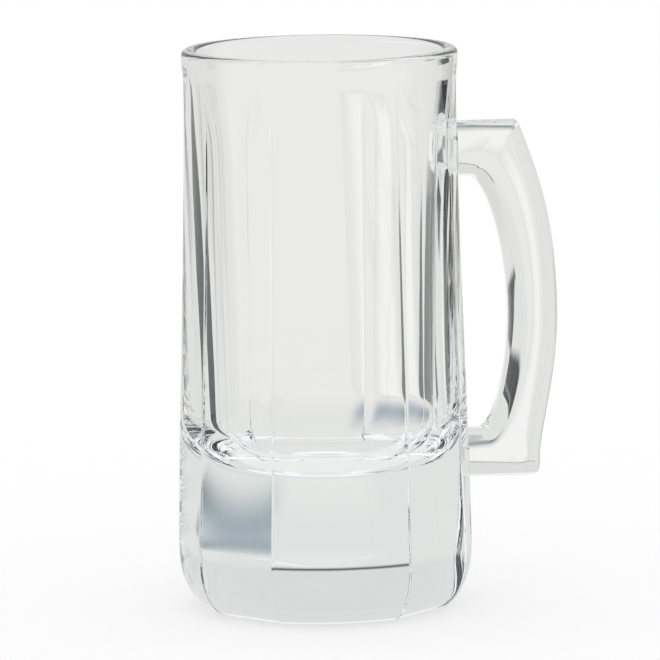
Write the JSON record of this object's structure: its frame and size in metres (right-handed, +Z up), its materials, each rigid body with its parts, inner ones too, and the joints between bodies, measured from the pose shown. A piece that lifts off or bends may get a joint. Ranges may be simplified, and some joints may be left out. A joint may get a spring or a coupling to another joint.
{
  "type": "beer mug",
  "caption": "Tall clear pressed-glass beer mug with a thick solid foot, flat side panels, a round beaded rim and a D-shaped side handle.",
  "frame": {"origin": "on the standing plane, under the middle of body and handle taken together; the body's axis lies at x = -12.12 mm", "axes": "+Z up along the body's axis, +X from the body to the handle, +Y to the left of someone looking along +X"},
  "size_m": [0.1038, 0.0796, 0.152],
  "materials": {
    "body_glass": "clear polished pressed glass with a faint blue-green tint in the thick foot",
    "handle_glass": "clear polished pressed glass"
  },
  "bodies": {
    "root": {"mug_body": "body_glass", "handle": "handle_glass"}
  },
  "joints": []
}
